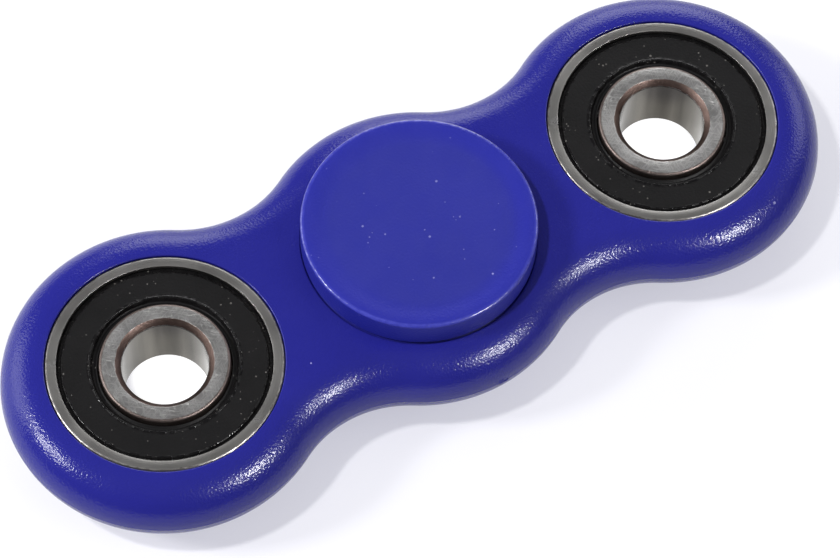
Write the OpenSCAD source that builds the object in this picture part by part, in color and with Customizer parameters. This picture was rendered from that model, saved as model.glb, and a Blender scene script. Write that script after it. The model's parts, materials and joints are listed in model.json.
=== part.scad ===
// Two-lobed hand spinner: a moulded body carries three deep-groove ball bearings in a row.
// The middle bearing's inner ring is held between two pressed-in finger caps, and the
// two end bearings, left bare, are the weights.
// Millimetres. +Z is the spin axis and +X runs along the row of bearings. The origin is
// on the spin axis, at the face that the spinner rests on.

/* [Body] */
// Thickness of the body between neighbouring bearings
web_w = 4.57; // [3:0.01:12]
// Thickness of the wall around each end bearing
end_wall = 4.2; // [2.5:0.1:8]
// Thickness of the wall around the middle bearing
middle_wall = 4.2; // [2.5:0.1:8]
// Radius of the hollow necks between the lobes
neck_r = 10.65; // [8:0.05:16]
// Width of the full-round edge, seen from above
edge_w = 3.9; // [1:0.1:4.7]
// How far the body stands proud of each bearing face
body_proud = 0.1; // [0:0.05:1]

/* [Bearings] */
// Bore of each bearing
bore_d = 8; // [6.6:0.1:9.6]
// Outer diameter of each bearing
bearing_od = 22; // [21.6:0.1:27]
// Width of each bearing
bearing_w = 7; // [7:0.1:9]
// Number of balls in each bearing
ball_count = 7; // [5:1:7]
// Ball diameter
ball_d = 3.969; // [3.2:0.001:4]
// Radius of the ball grooves' cross-section
groove_r = 2.06; // [2.02:0.01:2.2]
// Height of the ring shoulders above the groove bottoms
shoulder_h = 0.55; // [0.4:0.05:0.6]
// Chamfer at each end of the bore
bore_chamfer = 0.55; // [0.2:0.05:0.8]
// Chamfer on the outer corners of both rings
ring_chamfer = 0.3; // [0.1:0.05:0.4]

/* [Cage] */
// Thickness of the cage's sheet steel
cage_sheet = 0.35; // [0.2:0.05:0.45]
// Radial width of the cage
cage_w = 2.2; // [1.4:0.1:2.4]
// Diameter of each rivet's shank
rivet_d = 0.7; // [0.4:0.05:0.8]
// Diameter of each rivet's heads
rivet_head_d = 1.1; // [0.9:0.05:1.2]
// Height of each rivet head
rivet_head_h = 0.25; // [0.1:0.05:0.4]

/* [Seals] */
// Thickness of the outer ring's wall at its mouth, outside the seal
mouth_wall = 1.08; // [0.9:0.02:1.3]
// Depth of the undercut in that wall, which the seal snaps into
undercut = 0.23; // [0.1:0.01:0.4]
// Width of the groove between the mouth and the seal's flat face
seal_margin = 0.37; // [0.2:0.01:0.6]
// Depth of the seal's flat face below the ring faces
seal_recess = 0.3; // [0.2:0.05:0.4]
// Thickness of the rubber over the steel washer
rubber_t = 0.35; // [0.25:0.05:0.4]
// Thickness of the steel washer
core_t = 0.25; // [0.15:0.05:0.3]
// Width of rubber outside the washer, under the flat face
core_margin = 0.25; // [0.1:0.05:0.4]
// Width of the seal's thin lip
lip_w = 0.5; // [0.3:0.05:0.6]
// Width of rubber between the lip and the washer
lip_root_w = 0.25; // [0.1:0.05:0.4]

/* [Caps] */
// Diameter of the finger caps
cap_d = 22; // [16:0.1:24]
// Thickness of each cap at its rim
cap_t = 2.85; // [2:0.05:5]
// Radius on the rim's edges
cap_edge_r = 0.3; // [0.1:0.05:0.5]
// Width of the flat rim around the dish
cap_rim_w = 0.25; // [0.2:0.05:0.6]
// Depth of the finger dish
dish_depth = 0.3; // [0.1:0.05:0.8]
// Width of the slope from the rim to the dish's flat floor
dish_slope_w = 2.0; // [1:0.1:4]
// Width of the inner ring's face left bare around each cap's shoulder
bare_face_w = 0.25; // [0.1:0.05:0.6]
// Thickness of the socket's wall around the joining pin
socket_wall = 1.5; // [0.8:0.1:2]
// Length of the joining pin
pin_len = 2.6; // [1.5:0.1:2.8]

/* [Clearances] */
// Between each cap and the body's faces
cap_clear = 0.35; // [0.3:0.05:1]
// Between the balls and the grooves, on each side
ball_clear = 0.02; // [0.01:0.005:0.05]
// Between the balls and the cage pockets
pocket_clear = 0.07; // [0.03:0.01:0.1]
// Between each seal's lip and the inner ring
lip_clear = 0.1; // [0.05:0.05:0.2]
// Between the ends of the two spigots, where the caps meet
spigot_gap = 0.2; // [0.1:0.1:0.6]
// Beyond the end of the joining pin, in its socket
pin_end_clear = 0.3; // [0.1:0.1:0.5]

/* [Hidden] */
$fn = 96;
over = 1;

// plan
arm = bearing_od + web_w;
end_lobe_r = bearing_od / 2 + end_wall;
middle_lobe_r = bearing_od / 2 + middle_wall;

// each neck's hollow is an arc that touches the middle lobe and an end lobe
mid_reach = middle_lobe_r + neck_r;
end_reach = end_lobe_r + neck_r;
neck_x = (arm * arm + mid_reach * mid_reach - end_reach * end_reach) / (2 * arm);
neck_y = sqrt(mid_reach * mid_reach - neck_x * neck_x);

// heights
cap_gap = body_proud + cap_clear;
half_w = bearing_w / 2;
body_half = half_w + body_proud;
mid_z = cap_t + cap_gap + half_w;

// rings and balls
pitch_r = (bore_d + bearing_od) / 4;
ball_r = ball_d / 2;
groove_shift = groove_r - ball_r - ball_clear;
inner_shoulder_r = pitch_r - ball_r - ball_clear + shoulder_h;
outer_shoulder_r = pitch_r + ball_r + ball_clear - shoulder_h;
pocket_r = ball_r + pocket_clear;

// seals
mouth_r = bearing_od / 2 - mouth_wall;
bead_r = mouth_r + undercut;
face_r = mouth_r - seal_margin;
lip_r = inner_shoulder_r + lip_clear;
step_r = lip_r + lip_w;
core_outer_r = face_r - core_margin;
core_inner_r = step_r + lip_root_w;
face_z = half_w - seal_recess;
core_z = face_z - rubber_t;
seat_z = core_z - core_t;

// caps
pin_d = bore_d - 2 * socket_wall;
spigot_len = (bearing_w - spigot_gap) / 2;

EDGE_STEPS = 10;
PLACES = ["left", "centre", "right"];
FACES = ["upper", "lower"];

function place_x(p) = p == "left" ? -arm : p == "right" ? arm : 0;

// Half an ellipse from the flat top round to the flat underside, as points [radius, height].
// side is 1 on an edge that bulges away from its centre and -1 on one that bulges towards it.
function round_edge(r, side) = [
    for (i = [EDGE_STEPS:-1:-EDGE_STEPS])
        let (a = 90 * i / EDGE_STEPS)
        [r - side * edge_w * (1 - cos(a)), body_half * sin(a)]
];

// Full-round disc about a lobe's centre
module lobe(r) {
    rotate_extrude()
        polygon(concat([[0, body_half]], round_edge(r, 1), [[0, -body_half]]));
}

// Four-cornered block between the lobe centres and the fillet centres, whose sides are the seams
module neck_block() {
    translate([0, 0, -body_half])
        linear_extrude(2 * body_half)
            polygon([[0, 0], [neck_x, neck_y], [arm, 0], [neck_x, -neck_y]]);
}

// The block hollowed from both sides, from one lobe's seam to the next
module neck() {
    difference() {
        neck_block();
        for (side = [-1, 1])
            translate([neck_x, side * neck_y, 0])
                rotate_extrude()
                    polygon(concat(
                        [[0, body_half + over], [neck_r + edge_w, body_half + over]],
                        round_edge(neck_r, -1),
                        [[neck_r + edge_w, -body_half - over], [0, -body_half - over]]
                    ));
    }
}

module body() {
    color("mediumblue")
        translate([0, 0, mid_z])
            difference() {
                union() {
                    difference() {
                        lobe(middle_lobe_r);
                        for (turn = [0, 180])
                            rotate([0, 0, turn])
                                neck_block();
                    }
                    for (turn = [0, 180])
                        rotate([0, 0, turn]) {
                            neck();
                            difference() {
                                translate([arm, 0, 0])
                                    lobe(end_lobe_r);
                                neck_block();
                            }
                        }
                }
                for (p = PLACES)
                    translate([place_x(p), 0, -body_half - over])
                        cylinder(d = bearing_od, h = 2 * (body_half + over));
            }
}

// Turned outline of a cap, dish upwards, with its spigot hanging below the disc's underside at z = 0
module cap_disc() {
    r = cap_d / 2;
    corner = r - cap_edge_r;
    dish_r = corner - cap_rim_w;
    steps = 8;
    rotate_extrude()
        polygon(concat(
            [[0, 0], [corner, 0]],
            [for (i = [0:steps]) let (a = -90 + 90 * i / steps)
                [corner + cap_edge_r * cos(a), cap_edge_r * (1 + sin(a))]],
            [for (i = [0:steps]) let (a = 90 * i / steps)
                [corner + cap_edge_r * cos(a), cap_t - cap_edge_r * (1 - sin(a))]],
            [for (i = [0:steps])
                [dish_r - dish_slope_w * i / steps, cap_t - dish_depth * (1 - cos(180 * i / steps)) / 2]],
            [[0, cap_t - dish_depth]]
        ));
}

module cap_spigot() {
    translate([0, 0, -cap_gap])
        cylinder(r = inner_shoulder_r - ring_chamfer - bare_face_w, h = cap_gap + cap_edge_r);
    translate([0, 0, -cap_gap - spigot_len])
        cylinder(d = bore_d, h = spigot_len + cap_gap);
}

// The upper cap's spigot is a socket for the lower cap's pin
module top_cap() {
    color("mediumblue")
        translate([0, 0, mid_z + half_w + cap_gap])
            difference() {
                union() {
                    cap_disc();
                    cap_spigot();
                }
                translate([0, 0, -cap_gap - spigot_len - spigot_gap])
                    cylinder(d = pin_d, h = pin_len + pin_end_clear);
            }
}

module bottom_cap() {
    color("mediumblue")
        translate([0, 0, mid_z - half_w - cap_gap])
            rotate([180, 0, 0]) {
                cap_disc();
                cap_spigot();
                translate([0, 0, -cap_gap - spigot_len - pin_len])
                    cylinder(d = pin_d, h = pin_len + cap_gap);
            }
}

// Ring outline mirrored about the bearing's middle plane, less the ball groove
module ring_outline(half_points, groove_x) {
    difference() {
        polygon(concat(half_points, [for (i = [len(half_points) - 1:-1:0])
            [half_points[i][0], -half_points[i][1]]]));
        translate([groove_x, 0])
            circle(r = groove_r);
    }
}

module outer_ring() {
    color("silver")
        rotate_extrude()
            ring_outline([
                [outer_shoulder_r, seat_z],
                [bead_r, seat_z],
                [bead_r, core_z],
                [mouth_r, core_z + undercut],
                [mouth_r, half_w],
                [bearing_od / 2 - ring_chamfer, half_w],
                [bearing_od / 2, half_w - ring_chamfer]
            ], pitch_r - groove_shift);
}

module inner_ring() {
    color("silver")
        rotate_extrude()
            ring_outline([
                [bore_d / 2, half_w - bore_chamfer],
                [bore_d / 2 + bore_chamfer, half_w],
                [inner_shoulder_r - ring_chamfer, half_w],
                [inner_shoulder_r, half_w - ring_chamfer]
            ], pitch_r + groove_shift);
}

module at_ball(i) {
    rotate([0, 0, 90 + 360 * (i - 1) / ball_count])
        translate([pitch_r, 0, 0])
            children();
}

module at_rivet(i) {
    rotate([0, 0, 180 / ball_count])
        at_ball(i)
            children();
}

module ball(i) {
    color("gainsboro")
        at_ball(i)
            sphere(r = ball_r);
}

// One pressed half of the ribbon cage, above the middle plane
module cage_half() {
    color("darkgray")
        difference() {
            intersection() {
                difference() {
                    cylinder(r = pitch_r + cage_w / 2, h = pocket_r + cage_sheet);
                    translate([0, 0, -over])
                        cylinder(r = pitch_r - cage_w / 2, h = pocket_r + cage_sheet + 2 * over);
                }
                union() {
                    cylinder(r = pitch_r + cage_w, h = cage_sheet);
                    for (i = [1:ball_count])
                        at_ball(i)
                            sphere(r = pocket_r + cage_sheet);
                }
            }
            for (i = [1:ball_count]) {
                at_ball(i)
                    sphere(r = pocket_r);
                at_rivet(i)
                    translate([0, 0, -over])
                        cylinder(d = rivet_d, h = cage_sheet + 2 * over);
            }
        }
}

module cage_rivets() {
    color("gray")
        for (i = [1:ball_count])
            at_rivet(i) {
                translate([0, 0, -cage_sheet])
                    cylinder(d = rivet_d, h = 2 * cage_sheet);
                for (z = [-cage_sheet - rivet_head_h, cage_sheet])
                    translate([0, 0, z])
                        cylinder(d = rivet_head_d, h = rivet_head_h);
            }
}

// Rubber seal above the balls: a bead in the undercut, a groove, a flat face, a step and a thin lip
module seal() {
    soft = rubber_t / 4;
    color("#222222")
        rotate_extrude()
            polygon([
                [core_outer_r, seat_z],
                [bead_r, seat_z],
                [bead_r, core_z],
                [face_r + 2 * soft, core_z + soft],
                [face_r + soft, face_z - soft],
                [face_r, face_z],
                [step_r, face_z],
                [step_r - soft, face_z - seal_recess],
                [lip_r, face_z - seal_recess],
                [lip_r, seat_z],
                [core_inner_r, seat_z],
                [core_inner_r, core_z],
                [core_outer_r, core_z]
            ]);
}

// Steel washer seated in the underside of the seal
module seal_core() {
    color("dimgray")
        translate([0, 0, seat_z])
            difference() {
                cylinder(r = core_outer_r, h = core_t);
                translate([0, 0, -over])
                    cylinder(r = core_inner_r, h = core_t + 2 * over);
            }
}

// Moves a bearing piece to its bearing, turned over for the lower side
module in_bearing(p, face = "upper") {
    translate([place_x(p), 0, mid_z])
        mirror([0, 0, face == "lower" ? 1 : 0])
            children();
}

body();
top_cap();
bottom_cap();
for (p = PLACES) {
    in_bearing(p) outer_ring();
    in_bearing(p) inner_ring();
    in_bearing(p) cage_rivets();
    for (i = [1:ball_count])
        in_bearing(p) ball(i);
    for (f = FACES) {
        in_bearing(p, f) cage_half();
        in_bearing(p, f) seal();
        in_bearing(p, f) seal_core();
    }
}
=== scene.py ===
"""Two-lobed hand spinner: the visible pieces and finishes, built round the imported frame, in metres."""
import json
import math

import bmesh
import bpy
from mathutils import Matrix, Vector


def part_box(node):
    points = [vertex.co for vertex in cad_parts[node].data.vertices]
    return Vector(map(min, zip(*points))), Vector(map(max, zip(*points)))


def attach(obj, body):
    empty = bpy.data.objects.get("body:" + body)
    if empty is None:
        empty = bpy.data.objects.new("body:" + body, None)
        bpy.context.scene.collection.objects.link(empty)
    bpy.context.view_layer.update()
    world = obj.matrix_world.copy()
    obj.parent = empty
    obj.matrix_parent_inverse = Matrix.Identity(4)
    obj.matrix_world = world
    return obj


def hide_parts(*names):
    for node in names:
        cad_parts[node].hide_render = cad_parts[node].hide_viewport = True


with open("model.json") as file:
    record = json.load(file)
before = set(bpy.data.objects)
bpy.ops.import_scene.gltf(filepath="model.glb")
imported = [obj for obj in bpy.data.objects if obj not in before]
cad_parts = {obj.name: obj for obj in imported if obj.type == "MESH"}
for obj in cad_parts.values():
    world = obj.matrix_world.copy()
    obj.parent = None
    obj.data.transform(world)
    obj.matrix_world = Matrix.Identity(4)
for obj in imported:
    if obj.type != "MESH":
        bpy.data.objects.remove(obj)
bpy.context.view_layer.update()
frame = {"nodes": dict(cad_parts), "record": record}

MM = 0.001
FULL_TURN = 2 * math.pi
PLACES = ("left", "centre", "right")
FACES = ("upper", "lower")
BALLS = 7

MERGE_REACH = 0.002 * MM
PLANE_REACH = 0.001 * MM
RIM_REACH = 0.01 * MM
FLAT_FACE_WEIGHT = 80

# ---------------------------------------------------------------- sizes from the frame

mounts = {mount["name"]: mount for mount in frame["record"]["mounts"]}
BORE_R = mounts["right_bore"]["dims"]["r_mm"] * MM


def middle(node):
    low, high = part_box(node)
    return (low + high) / 2


def half_size(node):
    low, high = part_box(node)
    return (high - low) / 2


AXIS = {place: middle(f"{place}_inner_ring") for place in PLACES}
MID_Z = AXIS["centre"].z
ARM = AXIS["right"].x
RING_R = half_size("centre_outer_ring").x
RING_HALF = half_size("centre_outer_ring").z
INNER_R = half_size("centre_inner_ring").x
BODY_HALF = half_size("body").z
LOBE_R = half_size("body").y
CAP_R = half_size("top_cap").x
CAP_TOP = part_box("top_cap")[1].z - MID_Z

# ---------------------------------------------------------------- sizes of the details

NECK_R = 10.65 * MM
EDGE_W = 3.9 * MM
EDGE_STEPS = 14
LOBE_STEPS = 120
NECK_STEPS = 26
WAIST_STEPS = 32
SEAT_STEPS = 144
SEAT_ROUND = 0.14 * MM
PARTING_W = 0.07 * MM
PARTING_H = 0.018 * MM

CAP_THICK = 3.0 * MM
CAP_EDGE_R = 0.3 * MM
CAP_SKIRT_R = 0.12 * MM
CAP_RIM_W = 0.2 * MM
DISH_DEPTH = 0.17 * MM
DISH_SLOPE_W = 1.8 * MM
SHOULDER_R = 5.5 * MM
SOCKET_WALL = 1.5 * MM
PIN_LEN = 2.6 * MM
PIN_END_CLEAR = 0.3 * MM
SPIGOT_GAP = 0.2 * MM
SPIGOT_EDGE_R = 0.1 * MM
DISH_STEPS = 10
CAP_STEPS = 160

PITCH_R = (BORE_R + RING_R) / 2
BALL_R = half_size("centre_ball_1").x
BALL_CLEAR = 0.02 * MM
GROOVE_R = 2.06 * MM
SHOULDER_H = 0.55 * MM
BORE_CHAMFER = 0.55 * MM
RING_CHAMFER = 0.3 * MM
MOUTH_WALL = 1.08 * MM
UNDERCUT = 0.23 * MM

SEAL_MARGIN = 0.37 * MM
SEAL_RECESS = 0.3 * MM
RUBBER_T = 0.35 * MM
CORE_T = 0.25 * MM
CORE_MARGIN = 0.25 * MM
LIP_W = 0.5 * MM
LIP_ROOT_W = 0.25 * MM
LIP_CLEAR = 0.1 * MM
SHOULDER_ROUND = 0.25 * MM
RIDGE_R = 6.9 * MM
RIDGE_H = 0.05 * MM
TROUGH_DEPTH = 0.5 * MM
GATE_ANGLE = -88.5
GATE_H = 0.07 * MM
GATE_R = 0.42 * MM
GATE_DRAFT = 0.05 * MM


# ---------------------------------------------------------------- mesh tools

def finish_mesh(bm, name):
    """Merges the seams, turns the faces outwards and makes a smooth-shaded object of the mesh."""
    bmesh.ops.remove_doubles(bm, verts=bm.verts, dist=MERGE_REACH)
    bmesh.ops.recalc_face_normals(bm, faces=bm.faces)
    for face in bm.faces:
        face.smooth = True
    mesh = bpy.data.meshes.new(name)
    bm.to_mesh(mesh)
    bm.free()
    piece = bpy.data.objects.new(name, mesh)
    bpy.context.scene.collection.objects.link(piece)
    weighted = piece.modifiers.new("flat faces stay flat", "WEIGHTED_NORMAL")
    weighted.weight = FLAT_FACE_WEIGHT
    return piece


def arc(centre, radius, start, end, steps):
    """Points from the start angle to the end angle, in degrees, both ends included."""
    angles = [math.radians(start + (end - start) * i / steps) for i in range(steps + 1)]
    return [(centre[0] + radius * math.cos(a), centre[1] + radius * math.sin(a)) for a in angles]


def outline_wire(bm, points, closed):
    verts = [bm.verts.new((radius, 0, height)) for radius, height in points]
    pairs = list(zip(verts, verts[1:]))
    if closed:
        pairs.append((verts[-1], verts[0]))
    edges = [bm.edges.new(pair) for pair in pairs]
    return verts + edges


def soften(bm, radius, steepest=28.0, keep=lambda edge: True):
    """Rounds every edge that turns more sharply than the given angle."""
    sharp = [edge for edge in bm.edges
             if len(edge.link_faces) == 2
             and edge.calc_face_angle(0) > math.radians(steepest) and keep(edge)]
    bmesh.ops.bevel(bm, geom=sharp, offset=radius, offset_type="OFFSET", segments=2, profile=0.5,
                    affect="EDGES", clamp_overlap=True, material=-1)


def turned(bm, points, steps, closed=True):
    """Revolves an outline of (radius, height) points about the vertical axis."""
    geom = outline_wire(bm, points, closed)
    bmesh.ops.spin(bm, geom=geom, cent=(0, 0, 0), axis=(0, 0, 1), angle=FULL_TURN, steps=steps,
                   use_merge=True, use_duplicate=False)
    bmesh.ops.remove_doubles(bm, verts=bm.verts, dist=MERGE_REACH)
    bmesh.ops.recalc_face_normals(bm, faces=bm.faces)


def below(points):
    """The same outline under the bearing's middle plane, from its last point back to its first."""
    return [(radius, -height) for radius, height in reversed(points)]


def set_down(bm, place, face="upper"):
    """Moves a bearing piece, drawn about its own centre, to its bearing, turned over for the lower side."""
    if face == "lower":
        bmesh.ops.scale(bm, vec=(1, 1, -1), verts=bm.verts)
        bmesh.ops.reverse_faces(bm, faces=bm.faces)
    bmesh.ops.translate(bm, vec=AXIS[place], verts=bm.verts)


# ---------------------------------------------------------------- shader tools

def node(tree, kind, inputs=None, **settings):
    """Adds a shader node. Inputs that are sockets are linked, and other values are set."""
    made = tree.nodes.new(kind)
    for key, value in settings.items():
        setattr(made, key, value)
    for key, value in (inputs or {}).items():
        if isinstance(value, bpy.types.NodeSocket):
            tree.links.new(value, made.inputs[key])
        else:
            made.inputs[key].default_value = value
    return made


def maths(tree, operation, a, b=0.0, clamp=False):
    return node(tree, "ShaderNodeMath", {0: a, 1: b}, operation=operation, use_clamp=clamp).outputs[0]


def times(tree, a, b):
    return maths(tree, "MULTIPLY", a, b)


def lowered(tree, value, mask, amount):
    """The value, less the amount where the mask is 1."""
    return maths(tree, "SUBTRACT", value, times(tree, mask, amount))


def ramp(tree, value, low, high, out_low=0.0, out_high=1.0):
    """Smooth step of a value between two limits."""
    made = node(tree, "ShaderNodeMapRange", {"Value": value, "From Min": low, "From Max": high,
                                             "To Min": out_low, "To Max": out_high},
                interpolation_type="SMOOTHSTEP")
    return made.outputs[0]


def blend_colours(tree, factor, a, b):
    made = node(tree, "ShaderNodeMix", data_type="RGBA")
    for socket, value in ((made.inputs[0], factor), (made.inputs[6], a), (made.inputs[7], b)):
        if isinstance(value, bpy.types.NodeSocket):
            tree.links.new(value, socket)
        else:
            socket.default_value = value
    return made.outputs[2]


def noise(tree, vector, scale, detail=2.0, roughness=0.5):
    made = node(tree, "ShaderNodeTexNoise",
                {"Vector": vector, "Scale": scale, "Detail": detail, "Roughness": roughness})
    return made.outputs["Fac"]


def wandering(tree, radius, vector, scale, reach):
    """A radius that strays in and out by half the reach, so that the edges of the heat tint and of the
    painted shade on the rings aren't true circles.
    """
    stray = maths(tree, "SUBTRACT", noise(tree, vector, scale, 3.0), 0.5)
    return maths(tree, "ADD", radius, times(tree, stray, reach))


def stretched(tree, vector, turn, along, across):
    """Coordinates for scratches that run one way, with so many waves a metre along and across them."""
    made = node(tree, "ShaderNodeMapping",
                {"Vector": vector, "Rotation": (0, 0, math.radians(turn)),
                 "Scale": (1 / along, 1 / across, 1 / along)}, vector_type="TEXTURE")
    return made.outputs[0]


def new_group(name, inputs, outputs):
    """A shader node group with the given (name, socket type, default) inputs and (name, type) outputs."""
    tree = bpy.data.node_groups.new(name, "ShaderNodeTree")
    for socket_name, kind, default in inputs:
        socket = tree.interface.new_socket(name=socket_name, in_out="INPUT", socket_type=kind)
        if default is not None:
            socket.default_value = default
    for socket_name, kind in outputs:
        tree.interface.new_socket(name=socket_name, in_out="OUTPUT", socket_type=kind)
    return tree, tree.nodes.new("NodeGroupInput").outputs, tree.nodes.new("NodeGroupOutput").inputs


def use(tree, group, inputs):
    return node(tree, "ShaderNodeGroup", inputs, node_tree=group).outputs


VECTOR = "NodeSocketVector"
FLOAT = "NodeSocketFloat"


def make_spark_grain():
    """Fine pitted texture that a spark-eroded mould leaves, as a height from 0 to 1."""
    tree, given, out = new_group("spark_grain", [("Vector", VECTOR, None), ("Pits per metre", FLOAT, 3000.0)],
                                 [("Height", FLOAT)])
    fine = noise(tree, given["Vector"], given["Pits per metre"], 1.5, 0.5)
    cells = node(tree, "ShaderNodeTexVoronoi", {"Vector": given["Vector"], "Scale": given["Pits per metre"]},
                 feature="SMOOTH_F1")
    tree.links.new(maths(tree, "ADD", fine, times(tree, cells.outputs["Distance"], 0.25)), out["Height"])
    return tree


def make_rubbed_edge():
    """Mask of the convex edges that hands and fitting have rubbed, broken up by a noise."""
    tree, given, out = new_group("rubbed_edge", [("Vector", VECTOR, None), ("Breaks per metre", FLOAT, 900.0),
                                                 ("From", FLOAT, 0.53), ("To", FLOAT, 0.6)],
                                 [("Mask", FLOAT)])
    pointed = node(tree, "ShaderNodeNewGeometry").outputs["Pointiness"]
    edge = node(tree, "ShaderNodeMapRange", {"Value": pointed, "From Min": given["From"],
                                             "From Max": given["To"]}).outputs[0]
    broken = ramp(tree, noise(tree, given["Vector"], given["Breaks per metre"], 3.0), 0.38, 0.62)
    tree.links.new(maths(tree, "MULTIPLY", edge, broken, clamp=True), out["Mask"])
    return tree


def make_dust():
    """Sparse round specks of dust, as a mask."""
    tree, given, out = new_group("dust_specks", [("Vector", VECTOR, None), ("Specks per metre", FLOAT, 900.0),
                                                 ("Share", FLOAT, 0.08), ("Size", FLOAT, 0.25)],
                                 [("Mask", FLOAT)])
    cells = node(tree, "ShaderNodeTexVoronoi",
                 {"Vector": given["Vector"], "Scale": given["Specks per metre"]})
    lot = node(tree, "ShaderNodeSeparateColor", {0: cells.outputs["Color"]})
    kept = maths(tree, "LESS_THAN", lot.outputs[0], given["Share"])
    size = times(tree, given["Size"], maths(tree, "POWER", lot.outputs[1], 2.0))
    inside = maths(tree, "LESS_THAN", cells.outputs["Distance"], size)
    tree.links.new(times(tree, kept, inside), out["Mask"])
    return tree


SCRATCH_WAYS = ((24, 700, 9000), (-38, 900, 7600), (81, 1100, 8200))


def make_scratches():
    """Short straight scratches lying three ways, as a mask and a fine height."""
    tree, given, out = new_group("fine_scratches", [("Vector", VECTOR, None), ("Share", FLOAT, 0.6)],
                                 [("Mask", FLOAT), ("Height", FLOAT)])
    mask = None
    for turn, along, across in SCRATCH_WAYS:
        lines = noise(tree, stretched(tree, given["Vector"], turn, along, across), 1.0, 2.0, 0.4)
        one_way = ramp(tree, lines, given["Share"], maths(tree, "ADD", given["Share"], 0.12))
        mask = one_way if mask is None else maths(tree, "MAXIMUM", mask, one_way)
    grit = noise(tree, given["Vector"], 9000.0, 2.0, 0.6)
    tree.links.new(mask, out["Mask"])
    tree.links.new(lowered(tree, grit, mask, 0.7), out["Height"])
    return tree


SPARK_GRAIN = make_spark_grain()
RUBBED_EDGE = make_rubbed_edge()
DUST = make_dust()
SCRATCHES = make_scratches()


PLASTIC_IOR = 1.5


def new_material(name, metallic=0.0, specular=0.5):
    """A material with a Principled shader. Returns it, its tree, the shader and object coordinates."""
    material = bpy.data.materials.new(name)
    material.use_nodes = True
    tree = material.node_tree
    shader = tree.nodes["Principled BSDF"]
    shader.inputs["Metallic"].default_value = metallic
    shader.inputs["Specular IOR Level"].default_value = specular
    shader.inputs["IOR"].default_value = PLASTIC_IOR
    place = tree.nodes.new("ShaderNodeTexCoord").outputs["Object"]
    return material, tree, shader, place


def bump(tree, shader, height, distance):
    made = node(tree, "ShaderNodeBump", {"Height": height, "Distance": distance, "Strength": 1.0})
    tree.links.new(made.outputs[0], shader.inputs["Normal"])


def centred(tree, place_vector, place):
    """Object coordinates about a bearing's own centre."""
    return node(tree, "ShaderNodeMapping", {"Vector": place_vector, "Location": -AXIS[place]},
                vector_type="POINT").outputs[0]


def radius_of(tree, vector):
    flat = node(tree, "ShaderNodeVectorMath", {0: vector, 1: (1, 1, 0)}, operation="MULTIPLY")
    return node(tree, "ShaderNodeVectorMath", {0: flat.outputs[0]}, operation="LENGTH").outputs["Value"]


def body_plastic():
    """Deep blue moulded plastic with a spark-eroded surface."""
    deep_blue = (0.0112, 0.012, 0.163, 1)
    full_blue = (0.0155, 0.0162, 0.214, 1)
    pale_edge_blue = (0.12, 0.12, 0.5, 1)
    pale_speck = (0.35, 0.35, 0.62, 1)
    material, tree, shader, place = new_material("body_plastic", specular=0.34)
    cloud = noise(tree, place, 60.0, 3.0)
    colour = blend_colours(tree, cloud, deep_blue, full_blue)
    specks = use(tree, DUST, {"Vector": place, "Specks per metre": 800.0, "Share": 0.05, "Size": 0.12})[0]
    colour = blend_colours(tree, times(tree, specks, 0.6), colour, pale_speck)
    rubbed = use(tree, RUBBED_EDGE,
                 {"Vector": place, "Breaks per metre": 700.0, "From": 0.56, "To": 0.68})[0]
    colour = blend_colours(tree, times(tree, rubbed, 0.2), colour, pale_edge_blue)
    tree.links.new(colour, shader.inputs["Base Color"])
    patches = noise(tree, place, 240.0, 4.0)
    tree.links.new(ramp(tree, patches, 0.25, 0.75, 0.19, 0.25), shader.inputs["Roughness"])
    grain = use(tree, SPARK_GRAIN, {"Vector": place, "Pits per metre": 4600.0})[0]
    bump(tree, shader, grain, 0.038 * MM)
    return material


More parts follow.
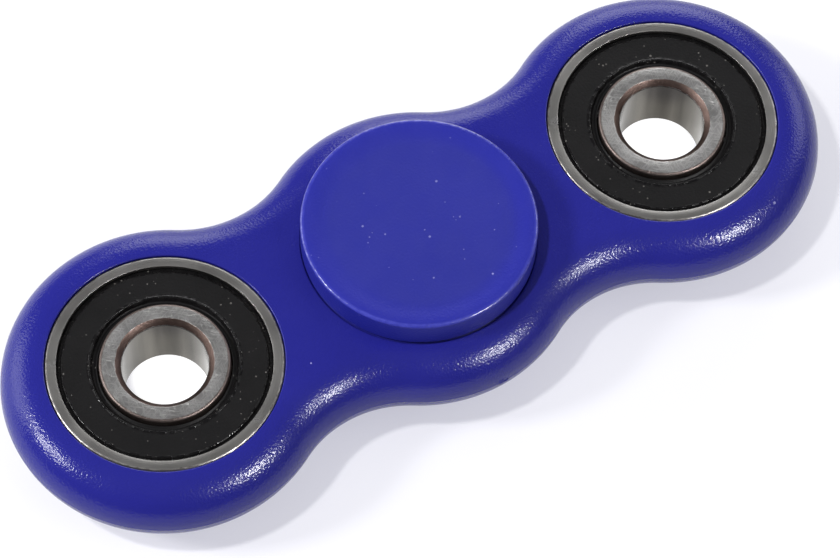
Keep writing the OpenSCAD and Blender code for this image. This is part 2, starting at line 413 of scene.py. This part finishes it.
def cap_plastic():
    """A little lighter, from a smoother mould: a richer blue painted on the dish's slope as shading, specked,
    and shiny on the rim, with a paler rim line that is partly wear and partly painted sheen.
    """
    deep_blue = (0.0135, 0.017, 0.2, 1)
    full_blue = (0.0185, 0.0222, 0.245, 1)
    slope_shading_blue = (0.01, 0.013, 0.275, 1)
    pale_edge_blue = (0.1, 0.11, 0.55, 1)
    pale_speck = (0.4, 0.4, 0.7, 1)
    material, tree, shader, place = new_material("cap_plastic", specular=0.3)
    cloud = noise(tree, place, 90.0, 4.0)
    colour = blend_colours(tree, cloud, deep_blue, full_blue)
    drift = ramp(tree, noise(tree, place, 170.0, 3.0), 0.45, 0.7, 0.04, 0.4)
    fine = use(tree, DUST, {"Vector": place, "Specks per metre": 2300.0, "Share": drift, "Size": 0.3})[0]
    few = use(tree, DUST, {"Vector": place, "Specks per metre": 640.0, "Share": 0.09, "Size": 0.09})[0]
    specks = maths(tree, "MAXIMUM", times(tree, fine, 0.6), few)
    colour = blend_colours(tree, times(tree, specks, 0.5), colour, pale_speck)
    radius = radius_of(tree, place)
    # Painted shading: the dish's slope is painted a richer blue for the way it takes the light.
    slope = times(tree, ramp(tree, radius, CAP_R - 3.0 * MM, CAP_R - 1.2 * MM), 0.5)
    colour = blend_colours(tree, slope, colour, slope_shading_blue)
    height = node(tree, "ShaderNodeSeparateXYZ", {0: place}).outputs["Z"]
    off_middle = maths(tree, "ABSOLUTE", maths(tree, "SUBTRACT", height, MID_Z))
    at_rim = ramp(tree, radius, CAP_R - 0.42 * MM, CAP_R - 0.25 * MM)
    at_top = ramp(tree, off_middle, CAP_TOP - 0.2 * MM, CAP_TOP - 0.1 * MM)
    broken = ramp(tree, noise(tree, place, 2600.0, 3.0), 0.4, 0.6)
    uneven = maths(tree, "ADD", times(tree, broken, 0.6), 0.4)
    rim_wear_and_sheen = times(tree, times(tree, at_rim, at_top), uneven)
    # Partly painted sheen: the paler rim line stands for the rim's sheen as well as its wear.
    colour = blend_colours(tree, times(tree, rim_wear_and_sheen, 0.35), colour, pale_edge_blue)
    tree.links.new(colour, shader.inputs["Base Color"])
    rough = ramp(tree, noise(tree, place, 500.0, 3.0), 0.3, 0.7, 0.4, 0.46)
    tree.links.new(lowered(tree, rough, rim_wear_and_sheen, 0.26), shader.inputs["Roughness"])
    tree.links.new(rim_wear_and_sheen, shader.inputs["Coat Weight"])
    shader.inputs["Coat Roughness"].default_value = 0.2
    grain = use(tree, SPARK_GRAIN, {"Vector": place, "Pits per metre": 4300.0})[0]
    bump(tree, shader, times(tree, grain, lowered(tree, 1.0, rim_wear_and_sheen, 0.75)), 0.035 * MM)
    return material


def outer_ring_steel(place):
    """Bearing steel with a fine turned lay, nicked edges and brown painted shade on the corner, where it
    meets the body, and on the wall of the mouth above the seal.

    The centre ring's rim, under the caps' skirts, is painted a dark blue for the shade in the gap under the
    caps, and is not metal there."""
    dark_steel = (0.34, 0.33, 0.315, 1)
    pale_steel = (0.52, 0.51, 0.49, 1)
    bright_edge = (0.8, 0.79, 0.77, 1)
    brown_painted_shade = (0.07, 0.055, 0.05, 1)
    gap_shade_blue = (0.012, 0.013, 0.15, 1)
    material, tree, shader, coords = new_material(f"{place}_outer_ring_steel", metallic=1.0)
    own = centred(tree, coords, place)
    radius = radius_of(tree, own)
    lay = node(tree, "ShaderNodeTexNoise",
               {"W": times(tree, radius, 16000.0), "Scale": 1.0, "Detail": 2.0},
               noise_dimensions="1D").outputs["Fac"]
    scratches = use(tree, SCRATCHES, {"Vector": coords, "Share": 0.66})
    cloud = noise(tree, coords, 260.0, 4.0)
    tone = maths(tree, "ADD", times(tree, lay, 0.3), times(tree, cloud, 0.7))
    colour = blend_colours(tree, tone, dark_steel, pale_steel)
    rubbed = use(tree, RUBBED_EDGE,
                 {"Vector": coords, "Breaks per metre": 1500.0, "From": 0.55, "To": 0.64})[0]
    colour = blend_colours(tree, rubbed, colour, bright_edge)
    # Painted shade: the mouth's wall above the seal and the corner against the body are darkened brown for
    # the shade there.
    mouth_shade = ramp(tree, radius, MOUTH_R - 0.02 * MM, MOUTH_R + 0.02 * MM, 1.0, 0.0)
    corner_shade = ramp(tree, wandering(tree, radius, coords, 1900.0, 0.5 * MM),
                     RING_R - 0.75 * RING_CHAMFER, RING_R - 0.45 * RING_CHAMFER)
    painted_shade = maths(tree, "MAXIMUM", mouth_shade, times(tree, corner_shade, 0.8))
    colour = blend_colours(tree, times(tree, painted_shade, 0.85), colour, brown_painted_shade)
    if place == "centre":
        # Painted shade: the centre ring's rim under the caps' skirts is painted dark blue, not metal, for the
        # shade in the gap.
        gap_shade = ramp(tree, radius, RING_R - 1.6 * RING_CHAMFER, RING_R - 1.2 * RING_CHAMFER)
        colour = blend_colours(tree, gap_shade, colour, gap_shade_blue)
        tree.links.new(maths(tree, "SUBTRACT", 1.0, gap_shade), shader.inputs["Metallic"])
        shader.inputs["Specular IOR Level"].default_value = 0.04
    tree.links.new(colour, shader.inputs["Base Color"])
    rough = ramp(tree, tone, 0.3, 0.7, 0.34, 0.42)
    rough = lowered(tree, rough, scratches["Mask"], 0.05)
    tree.links.new(lowered(tree, rough, rubbed, 0.12), shader.inputs["Roughness"])
    bump(tree, shader, maths(tree, "ADD", times(tree, scratches["Height"], 0.5), lay), 0.003 * MM)
    return material


def inner_ring_steel(place):
    """Ground faces with short lapping marks, a honed bore painted dark with bands of painted reflection, and
    brown heat tint on chamfers and rim.
    """
    dark_face = (0.47, 0.46, 0.445, 1)
    pale_face = (0.72, 0.71, 0.695, 1)
    bright_mark = (0.95, 0.94, 0.92, 1)
    dark_tint = (0.075, 0.05, 0.043, 1)
    pale_tint = (0.17, 0.12, 0.105, 1)
    bore_painted_shade = (0.05, 0.045, 0.037, 1)
    bore_painted_reflection = (0.15, 0.14, 0.12, 1)
    material, tree, shader, coords = new_material(f"{place}_inner_ring_steel", metallic=1.0)
    own = centred(tree, coords, place)
    radius = radius_of(tree, own)
    scratches = use(tree, SCRATCHES, {"Vector": coords, "Share": 0.53})
    cloud = noise(tree, coords, 420.0, 4.0)
    colour = blend_colours(tree, cloud, dark_face, pale_face)
    colour = blend_colours(tree, times(tree, scratches["Mask"], 0.45), colour, bright_mark)
    edge = wandering(tree, radius, coords, 1500.0, 0.12 * MM)
    off_bore = ramp(tree, edge, BORE_R + 0.02 * MM, BORE_R + 0.06 * MM)
    off_face = ramp(tree, edge, BORE_R + BORE_CHAMFER - 0.03 * MM, BORE_R + BORE_CHAMFER + 0.04 * MM,
                    1.0, 0.0)
    at_rim = ramp(tree, edge, INNER_R - 1.2 * RING_CHAMFER, INNER_R - 0.7 * RING_CHAMFER)
    tint = maths(tree, "MAXIMUM", times(tree, off_bore, off_face), times(tree, at_rim, 0.9))
    brown = blend_colours(tree, noise(tree, coords, 900.0, 3.0), dark_tint, pale_tint)
    colour = blend_colours(tree, tint, colour, brown)
    # Painted shade and painted reflections: the bore is darkened and striped with pale bands running down it.
    in_bore = maths(tree, "SUBTRACT", 1.0, ramp(tree, radius, BORE_R + 0.01 * MM, BORE_R + 0.04 * MM))
    down_bore = node(tree, "ShaderNodeMapping", {"Vector": own, "Scale": (380.0, 380.0, 30.0)}).outputs[0]
    painted_reflection_bands = ramp(tree, noise(tree, down_bore, 1.0, 3.0), 0.3, 0.7)
    colour = blend_colours(tree, in_bore, colour, blend_colours(tree, painted_reflection_bands, bore_painted_shade, bore_painted_reflection))
    tree.links.new(colour, shader.inputs["Base Color"])
    rough = ramp(tree, cloud, 0.3, 0.7, 0.3, 0.36)
    rough = maths(tree, "ADD", rough, times(tree, tint, 0.1))
    tree.links.new(lowered(tree, rough, in_bore, 0.14), shader.inputs["Roughness"])
    marks = times(tree, scratches["Height"], maths(tree, "SUBTRACT", 1.0, in_bore))
    bump(tree, shader, marks, 0.009 * MM)
    return material


def seal_rubber(place):
    """Black moulded rubber: greasy along the ridge and shoulder, with pale dust on its face."""
    deep_black = (0.0025, 0.0025, 0.0027, 1)
    worn_black = (0.0085, 0.008, 0.0085, 1)
    dust_grey = (0.42, 0.4, 0.37, 1)
    material, tree, shader, coords = new_material(f"{place}_seal_rubber", specular=0.22)
    radius = radius_of(tree, centred(tree, coords, place))
    cloud = noise(tree, coords, 260.0, 5.0, 0.7)
    colour = blend_colours(tree, cloud, deep_black, worn_black)
    drift = ramp(tree, noise(tree, coords, 230.0, 3.0), 0.42, 0.68, 0.03, 0.5)
    lint = use(tree, DUST, {"Vector": coords, "Specks per metre": 3100.0, "Share": drift, "Size": 0.34})[0]
    flakes = use(tree, DUST, {"Vector": coords, "Specks per metre": 420.0, "Share": 0.09, "Size": 0.13})[0]
    dust = maths(tree, "MAXIMUM", times(tree, lint, 0.3), flakes)
    colour = blend_colours(tree, times(tree, dust, 0.7), colour, dust_grey)
    tree.links.new(colour, shader.inputs["Base Color"])
    off_ridge = maths(tree, "ABSOLUTE", maths(tree, "SUBTRACT", radius, RIDGE_R))
    ridge = ramp(tree, off_ridge, 0.1 * MM, 0.35 * MM, 1.0, 0.0)
    shoulder = ramp(tree, radius, SEAL_FACE_R - 0.3 * MM, SEAL_FACE_R - 0.15 * MM)
    smears = ramp(tree, noise(tree, coords, 1400.0, 3.0), 0.4, 0.6)
    greasy = times(tree, maths(tree, "MAXIMUM", ridge, shoulder), smears)
    rough = maths(tree, "ADD", lowered(tree, 0.46, greasy, 0.34), times(tree, dust, 0.3))
    tree.links.new(rough, shader.inputs["Roughness"])
    grain = use(tree, SPARK_GRAIN, {"Vector": coords, "Pits per metre": 3800.0})[0]
    lumps = times(tree, times(tree, noise(tree, coords, 1500.0, 2.0), greasy), 3.0)
    bump(tree, shader, maths(tree, "ADD", grain, lumps), 0.02 * MM)
    return material


def plain_steel(name, dark, light, roughness, marks):
    """Steel of the hidden pieces: pressed cage strip, rivets, balls and seal washers."""
    bright_edge = (0.85, 0.84, 0.82, 1)
    material, tree, shader, place = new_material(name, metallic=1.0)
    cloud = noise(tree, place, 500.0, 4.0)
    scratches = use(tree, SCRATCHES, {"Vector": place, "Share": 0.62})
    colour = blend_colours(tree, cloud, dark, light)
    rubbed = use(tree, RUBBED_EDGE, {"Vector": place, "Breaks per metre": 2500.0})[0]
    colour = blend_colours(tree, times(tree, rubbed, 0.5), colour, bright_edge)
    tree.links.new(colour, shader.inputs["Base Color"])
    rough = ramp(tree, cloud, 0.3, 0.7, roughness, roughness + 0.1)
    tree.links.new(lowered(tree, rough, scratches["Mask"], 0.05), shader.inputs["Roughness"])
    bump(tree, shader, scratches["Height"], marks)
    return material


# ---------------------------------------------------------------- the moulded body

NECK_X = ARM / 2
NECK_Y = math.sqrt((LOBE_R + NECK_R) ** 2 - NECK_X ** 2)
SEAM = math.atan2(NECK_Y, NECK_X)


def edge_outline():
    """Full-round edge from the flat top round to the flat underside, as (radius, height) about a lobe."""
    points = []
    for step in range(EDGE_STEPS, -EDGE_STEPS - 1, -1):
        angle = math.pi / 2 * step / EDGE_STEPS
        points.append((LOBE_R - EDGE_W * (1 - math.cos(angle)), BODY_HALF * math.sin(angle)))
    return points


def parting_line(bm):
    """Raises the thin witness line that the two mould halves leave round the middle of the edge."""
    ring = [edge for edge in bm.edges if all(abs(vert.co.z) < PLANE_REACH for vert in edge.verts)]
    bmesh.ops.bevel(bm, geom=ring, offset=PARTING_W, offset_type="OFFSET", segments=2, profile=0.5,
                    affect="EDGES", clamp_overlap=True, material=-1)
    bm.normal_update()
    crest = [vert for vert in bm.verts if abs(vert.co.z) < PLANE_REACH]
    moves = [(vert, Vector((vert.normal.x, vert.normal.y, 0)).normalized()) for vert in crest]
    for vert, outwards in moves:
        bmesh.ops.translate(bm, vec=outwards * PARTING_H, verts=[vert])


def body_edge(bm):
    """Sweeps the edge outline round the lobes and hollow necks, from seam to seam."""
    start = Matrix.Translation((ARM, 0, 0)) @ Matrix.Rotation(SEAM - math.pi, 4, "Z")
    profile = outline_wire(bm, edge_outline(), closed=False)
    bmesh.ops.transform(bm, matrix=start, verts=bm.verts)
    lobe_sweep = FULL_TURN - 2 * SEAM
    neck_sweep = 2 * SEAM - math.pi
    runs = [((ARM, 0, 0), lobe_sweep, LOBE_STEPS),
            ((NECK_X, NECK_Y, 0), neck_sweep, NECK_STEPS),
            ((0, 0, 0), -neck_sweep, WAIST_STEPS),
            ((-NECK_X, NECK_Y, 0), neck_sweep, NECK_STEPS),
            ((-ARM, 0, 0), lobe_sweep, LOBE_STEPS),
            ((-NECK_X, -NECK_Y, 0), neck_sweep, NECK_STEPS),
            ((0, 0, 0), -neck_sweep, WAIST_STEPS),
            ((NECK_X, -NECK_Y, 0), neck_sweep, NECK_STEPS)]
    for centre, sweep, steps in runs:
        made = bmesh.ops.spin(bm, geom=profile, cent=centre, axis=(0, 0, 1), angle=sweep, steps=steps,
                              use_merge=False, use_duplicate=False)
        profile = made["geom_last"]
    bmesh.ops.remove_doubles(bm, verts=bm.verts, dist=MERGE_REACH)


def bearing_seat(bm, place):
    """Straight seat for a bearing, with a small round at each mouth."""
    round_top = arc((RING_R + SEAT_ROUND, BODY_HALF - SEAT_ROUND), SEAT_ROUND, 90, 180, 4)
    before = set(bm.verts)
    geom = outline_wire(bm, round_top + below(round_top), closed=False)
    bmesh.ops.spin(bm, geom=geom, cent=(0, 0, 0), axis=(0, 0, 1), angle=FULL_TURN, steps=SEAT_STEPS,
                   use_merge=True, use_duplicate=False)
    made = [vert for vert in bm.verts if vert not in before]
    bmesh.ops.translate(bm, vec=(AXIS[place].x, 0, 0), verts=made)


def gate_scar(bm):
    """Raises the stub on the parting line where the runner was cut from the moulding."""
    angle = math.radians(GATE_ANGLE)
    spot = Vector((LOBE_R * math.cos(angle), LOBE_R * math.sin(angle), 0))
    stub = [face for face in bm.faces if (face.calc_center_median() - spot).length < GATE_R]
    bmesh.ops.inset_region(bm, faces=stub, thickness=GATE_DRAFT, depth=GATE_H, use_even_offset=True)


def build_body():
    bm = bmesh.new()
    body_edge(bm)
    parting_line(bm)
    bmesh.ops.recalc_face_normals(bm, faces=bm.faces)
    gate_scar(bm)
    for place in PLACES:
        bearing_seat(bm, place)
    bmesh.ops.remove_doubles(bm, verts=bm.verts, dist=MERGE_REACH)
    for side in (1, -1):
        rims = [edge for edge in bm.edges if edge.is_boundary
                and all(abs(vert.co.z - side * BODY_HALF) < RIM_REACH for vert in edge.verts)]
        bmesh.ops.triangle_fill(bm, use_beauty=True, use_dissolve=False, edges=rims, normal=(0, 0, side))
    bmesh.ops.translate(bm, vec=(0, 0, MID_Z), verts=bm.verts)
    return finish_mesh(bm, "body_moulding")


# ---------------------------------------------------------------- the finger caps

def cap_outline(upper):
    """Cap above the bearing's middle plane, from the axis outwards, under the rim and down the spigot."""
    corner = CAP_R - CAP_EDGE_R
    dish_edge = corner - CAP_RIM_W
    under = CAP_TOP - CAP_THICK
    slope = []
    for step in range(DISH_STEPS, -1, -1):
        share = step / DISH_STEPS
        fall = DISH_DEPTH * (1 - math.cos(math.pi * share)) / 2
        slope.append((dish_edge - DISH_SLOPE_W * share, CAP_TOP - fall))
    rim = arc((corner, CAP_TOP - CAP_EDGE_R), CAP_EDGE_R, 90, 0, 6)
    skirt = arc((CAP_R - CAP_SKIRT_R, under + CAP_SKIRT_R), CAP_SKIRT_R, 0, -90, 4)
    spigot_end = SPIGOT_GAP / 2
    spigot = [(SHOULDER_R, under), (SHOULDER_R, RING_HALF), (BORE_R, RING_HALF), (BORE_R, spigot_end)]
    pin_r = BORE_R - SOCKET_WALL
    if upper:
        socket_top = PIN_LEN + PIN_END_CLEAR - spigot_end
        ending = [(pin_r, spigot_end), (pin_r, socket_top), (0, socket_top)]
    else:
        ending = [(pin_r, spigot_end), (pin_r, spigot_end - PIN_LEN), (0, spigot_end - PIN_LEN)]
    return [(0, CAP_TOP - DISH_DEPTH)] + slope + rim + skirt + spigot + ending


def build_cap(face):
    bm = bmesh.new()
    turned(bm, cap_outline(face == "upper"), CAP_STEPS, closed=False)
    soften(bm, SPIGOT_EDGE_R, steepest=50.0, keep=lambda edge: edge.verts[0].co.z < RING_HALF)
    set_down(bm, "centre", face)
    return finish_mesh(bm, "top_cap_moulding" if face == "upper" else "bottom_cap_moulding")


# ---------------------------------------------------------------- the bearings

INNER_SHOULDER_R = PITCH_R - BALL_R - BALL_CLEAR + SHOULDER_H
OUTER_SHOULDER_R = PITCH_R + BALL_R + BALL_CLEAR - SHOULDER_H
GROOVE_SHIFT = GROOVE_R - BALL_R - BALL_CLEAR
MOUTH_R = RING_R - MOUTH_WALL
BEAD_R = MOUTH_R + UNDERCUT
SEAL_FACE_R = MOUTH_R - SEAL_MARGIN
LIP_R = INNER_SHOULDER_R + LIP_CLEAR
STEP_R = LIP_R + LIP_W
CORE_OUTER_R = SEAL_FACE_R - CORE_MARGIN
CORE_INNER_R = STEP_R + LIP_ROOT_W
FACE_Z = RING_HALF - SEAL_RECESS
CORE_Z = FACE_Z - RUBBER_T
SEAT_Z = CORE_Z - CORE_T
RING_EDGE_R = 0.03 * MM
SEAL_EDGE_R = 0.05 * MM
BEARING_STEPS = 144


def groove(centre_r, shoulder_r):
    """Ball groove from its upper corner to its lower one, as (radius, height) points."""
    reach = abs(shoulder_r - centre_r)
    half_angle = math.degrees(math.acos(reach / GROOVE_R))
    facing = 0 if shoulder_r > centre_r else 180
    turn = half_angle if shoulder_r > centre_r else -half_angle
    return arc((centre_r, 0), GROOVE_R, facing + turn, facing - turn, 16)


def outer_ring_outline():
    upper = [(OUTER_SHOULDER_R, SEAT_Z), (BEAD_R, SEAT_Z), (BEAD_R, CORE_Z), (MOUTH_R, CORE_Z + UNDERCUT),
             (MOUTH_R, RING_HALF)]
    corner = arc((RING_R - RING_CHAMFER, RING_HALF - RING_CHAMFER), RING_CHAMFER, 90, 0, 5)
    half = upper + corner
    return half + below(half) + list(reversed(groove(PITCH_R - GROOVE_SHIFT, OUTER_SHOULDER_R)))


def inner_ring_outline():
    corner = arc((INNER_SHOULDER_R - RING_CHAMFER, RING_HALF - RING_CHAMFER), RING_CHAMFER, 90, 0, 5)
    half = [(BORE_R, RING_HALF - BORE_CHAMFER), (BORE_R + BORE_CHAMFER, RING_HALF)] + corner
    return half + groove(PITCH_R + GROOVE_SHIFT, INNER_SHOULDER_R) + below(half)


def seal_outline():
    """Bead in the ring's groove, rounded shoulder, flat face, raised ridge, trough and lip."""
    shoulder = arc((SEAL_FACE_R - SHOULDER_ROUND, FACE_Z - SHOULDER_ROUND), SHOULDER_ROUND, 0, 90, 5)
    ridge = [(RIDGE_R + 0.12 * MM, FACE_Z), (RIDGE_R + 0.05 * MM, FACE_Z + RIDGE_H),
             (RIDGE_R - 0.05 * MM, FACE_Z + RIDGE_H), (RIDGE_R - 0.13 * MM, FACE_Z - RIDGE_H)]
    trough = [(STEP_R, FACE_Z - 0.9 * TROUGH_DEPTH),
              (STEP_R - 0.14 * MM, FACE_Z - TROUGH_DEPTH),
              (STEP_R - 0.26 * MM, FACE_Z - 0.94 * TROUGH_DEPTH),
              (LIP_R + 0.12 * MM, FACE_Z - 0.7 * TROUGH_DEPTH),
              (LIP_R, FACE_Z - 0.72 * TROUGH_DEPTH)]
    return ([(CORE_OUTER_R, SEAT_Z), (BEAD_R, SEAT_Z), (BEAD_R, CORE_Z)] + shoulder + ridge + trough
            + [(LIP_R, SEAT_Z), (CORE_INNER_R, SEAT_Z), (CORE_INNER_R, CORE_Z), (CORE_OUTER_R, CORE_Z)])


def build_turned(name, outline, place, face="upper", edge_radius=RING_EDGE_R):
    bm = bmesh.new()
    turned(bm, outline, BEARING_STEPS)
    soften(bm, edge_radius)
    set_down(bm, place, face)
    return finish_mesh(bm, name)


# ---------------------------------------------------------------- assembly

def dress(piece, body, slot, material, *nodes):
    """Puts a finished piece in the place of its CAD nodes, on its body and in its material."""
    piece.data.materials.clear()
    piece.data.materials.append(material)
    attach(piece, body)
    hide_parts(*nodes)


def repaint(cad_node, material):
    cad = frame["nodes"][cad_node]
    cad.data.materials.clear()
    cad.data.materials.append(material)


blue = body_plastic()
cap_blue = cap_plastic()
ball_steel = plain_steel("ball_steel", (0.68, 0.68, 0.69, 1), (0.78, 0.78, 0.79, 1), 0.06, 0.0004 * MM)
cage_steel = plain_steel("cage_steel", (0.34, 0.33, 0.31, 1), (0.48, 0.47, 0.44, 1), 0.34, 0.005 * MM)
rivet_steel = plain_steel("rivet_steel", (0.45, 0.44, 0.42, 1), (0.6, 0.59, 0.56, 1), 0.28, 0.004 * MM)
core_steel = plain_steel("core_steel", (0.24, 0.24, 0.24, 1), (0.36, 0.36, 0.35, 1), 0.4, 0.005 * MM)

dress(build_body(), "spinner", "blue_plastic", blue, "body")
dress(build_cap("upper"), "caps", "cap_plastic", cap_blue, "top_cap")
dress(build_cap("lower"), "caps", "cap_plastic", cap_blue, "bottom_cap")

for place in PLACES:
    inner_body = "caps" if place == "centre" else f"{place}_ring"
    rubber = seal_rubber(place)
    outer_ring = build_turned(f"{place}_outer_ring_turned", outer_ring_outline(), place)
    dress(outer_ring, "spinner", "ring_steel", outer_ring_steel(place), f"{place}_outer_ring")
    inner_ring = build_turned(f"{place}_inner_ring_turned", inner_ring_outline(), place)
    dress(inner_ring, inner_body, "ring_steel", inner_ring_steel(place), f"{place}_inner_ring")
    for face in FACES:
        seal = build_turned(f"{place}_{face}_seal_moulding", seal_outline(), place, face, SEAL_EDGE_R)
        dress(seal, "spinner", "seal_rubber", rubber, f"{place}_{face}_seal")
        repaint(f"{place}_{face}_seal_core", core_steel)
        repaint(f"{place}_cage_{face}", cage_steel)
    repaint(f"{place}_cage_rivets", rivet_steel)
    for number in range(1, BALLS + 1):
        repaint(f"{place}_ball_{number}", ball_steel)


# ---------------------------------------------------------------- floor, light and camera

FLOOR_HALF = 3.0
# Painted light: where the floor's painted pools of light sit beneath the bores, and how far they reach.
PAINTED_LIGHT_SHIFT = Vector((1.95 * MM, 3.1 * MM, -MID_Z))
PAINTED_LIGHT_REACH = (3.3 * MM, 4.6 * MM)
LIGHT_DISTANCE = 1.0
SKY_STRENGTH = 0.12

VIEW_AZIMUTH = math.radians(-32.06)
VIEW_ELEVATION = math.radians(61.94)
VIEW_ROLL = math.radians(2.82)
VIEW_DISTANCE = 326.77 * MM
VIEW_AIM = Vector((-1.98 * MM, -3.77 * MM, MID_Z + RING_HALF))
SENSOR_W = 36.0
LENS = 151.61


def build_floor():
    """Pale floor with an even glow of its own, and painted pools of light on it where it shows through the
    two open bores.
    """
    paper_grey = (0.4, 0.4, 0.4, 1)
    soft_glow = (0.485, 0.485, 0.54, 1)
    painted_bore_light = (0.98, 0.98, 0.98, 1)
    bm = bmesh.new()
    bmesh.ops.create_grid(bm, x_segments=8, y_segments=8, size=FLOOR_HALF)
    floor = finish_mesh(bm, "floor")
    material, tree, shader, place = new_material("floor_paper", specular=0.0)
    shader.inputs["Base Color"].default_value = paper_grey
    shader.inputs["Roughness"].default_value = 1.0
    # Painted light: pools of light painted into the floor's glow beneath the two open bores.
    painted_light_pools = None
    for side in ("left", "right"):
        spot = AXIS[side] + PAINTED_LIGHT_SHIFT
        away = node(tree, "ShaderNodeVectorMath", {0: place, 1: spot}, operation="DISTANCE").outputs["Value"]
        lit = ramp(tree, away, *PAINTED_LIGHT_REACH, 1.0, 0.0)
        painted_light_pools = lit if painted_light_pools is None else maths(tree, "ADD", painted_light_pools, lit)
    emitted = blend_colours(tree, painted_light_pools, soft_glow, painted_bore_light)
    tree.links.new(emitted, shader.inputs["Emission Color"])
    shader.inputs["Emission Strength"].default_value = 1.0
    floor.data.materials.append(material)


def aimed(location, target):
    """Turns a light or a camera at a place so that it looks at the target."""
    looking = (Vector(target) - Vector(location)).normalized()
    return Matrix.Translation(location) @ looking.to_track_quat("-Z", "Y").to_matrix().to_4x4()


def softbox(name, azimuth, elevation, size, power, diffuse=True, glossy=True):
    """Square light at a compass angle and height round the spinner; azimuth 0 is in front, at -Y."""
    data = bpy.data.lights.new(name, "AREA")
    data.shape = "SQUARE"
    data.size = size
    data.energy = power
    lamp = bpy.data.objects.new(name, data)
    bpy.context.scene.collection.objects.link(lamp)
    flat = math.cos(math.radians(elevation))
    towards = Vector((math.sin(math.radians(azimuth)) * flat, -math.cos(math.radians(azimuth)) * flat,
                      math.sin(math.radians(elevation))))
    lamp.matrix_world = aimed(towards * LIGHT_DISTANCE, (0, 0, MID_Z))
    lamp.visible_diffuse = diffuse
    lamp.visible_glossy = glossy


def build_lights():
    sky = bpy.data.worlds.new("studio")
    bpy.context.scene.world = sky
    sky.use_nodes = True
    backdrop = sky.node_tree.nodes["Background"]
    backdrop.inputs["Color"].default_value = (0.95, 0.95, 1.0, 1)
    backdrop.inputs["Strength"].default_value = SKY_STRENGTH
    softbox("key_light", -94.0, 67.0, 0.06, 5.5, glossy=False)
    softbox("right_fill", 40.0, 40.0, 0.7, 3.4, glossy=False)
    softbox("top_fill", 0.0, 90.0, 1.0, 1.8, glossy=False)
    softbox("left_softbox", -110.0, 41.0, 0.16, 5.2)
    softbox("right_softbox", 28.0, 47.0, 0.09, 7.0, diffuse=False)
    softbox("overhead_softbox", 0.0, 90.0, 1.0, 1.5)
    softbox("back_left_softbox", -138.0, 20.0, 0.6, 3.4)
    softbox("side_softbox", 98.0, 24.0, 0.5, 2.0, diffuse=False)
    softbox("back_right_softbox", 148.0, 20.0, 0.6, 3.7)


def build_camera():
    """Camera in front, to the left and above, looking down at the caps with a slight roll."""
    back = Vector((math.sin(VIEW_AZIMUTH) * math.cos(VIEW_ELEVATION),
                   -math.cos(VIEW_AZIMUTH) * math.cos(VIEW_ELEVATION), math.sin(VIEW_ELEVATION)))
    right = Vector((0, 0, 1)).cross(back).normalized()
    up = back.cross(right)
    across = right * math.cos(VIEW_ROLL) + up * math.sin(VIEW_ROLL)
    upright = up * math.cos(VIEW_ROLL) - right * math.sin(VIEW_ROLL)
    data = bpy.data.cameras.new("camera")
    data.sensor_width = SENSOR_W
    data.lens = LENS
    data.clip_start = 0.01
    data.clip_end = 20.0
    camera = bpy.data.objects.new("camera", data)
    bpy.context.scene.collection.objects.link(camera)
    turn = Matrix((across, upright, back)).transposed().to_4x4()
    camera.matrix_world = Matrix.Translation(VIEW_AIM + back * VIEW_DISTANCE) @ turn
    bpy.context.scene.camera = camera


build_floor()
build_lights()
build_camera()
bpy.context.scene.view_settings.view_transform = "Standard"
